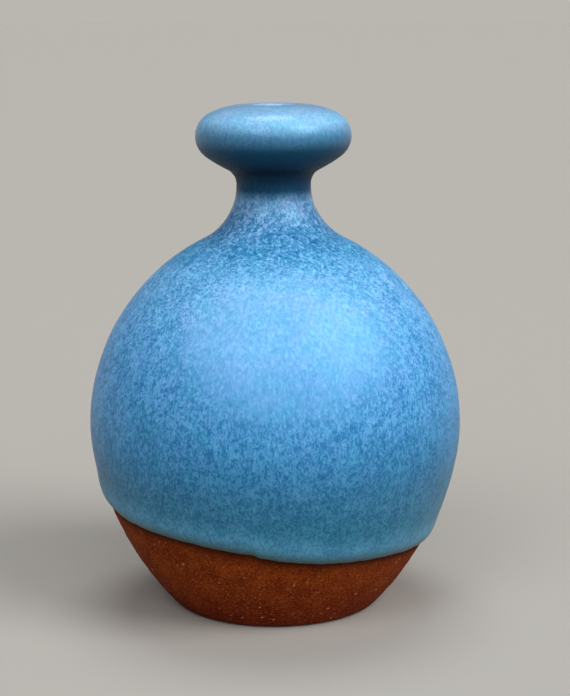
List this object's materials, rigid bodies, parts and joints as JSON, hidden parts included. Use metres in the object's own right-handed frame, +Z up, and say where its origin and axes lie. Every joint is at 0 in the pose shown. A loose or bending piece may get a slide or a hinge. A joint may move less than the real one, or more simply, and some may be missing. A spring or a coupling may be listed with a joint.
{
  "type": "bud vase",
  "caption": "Small wheel-thrown stoneware bud vase: round body, narrow throat, broad rolled rim, glazed to a slanting line above a bare clay foot.",
  "frame": {"origin": "centre of the foot ring, on the surface that the vase stands on", "axes": "+Z up along the axis that the vase is turned about; -Y is the front, and the glaze's lower edge hangs lowest near +X"},
  "size_m": [0.0766, 0.0766, 0.1031],
  "materials": {
    "clay": "bare, gritty fired stoneware",
    "outer_glaze": "satin glaze, finely speckled",
    "liner_glaze": "satin glaze"
  },
  "bodies": {
    "root": {"clay_body": "clay", "outer_glaze": "outer_glaze", "liner_glaze": "liner_glaze"}
  },
  "joints": []
}
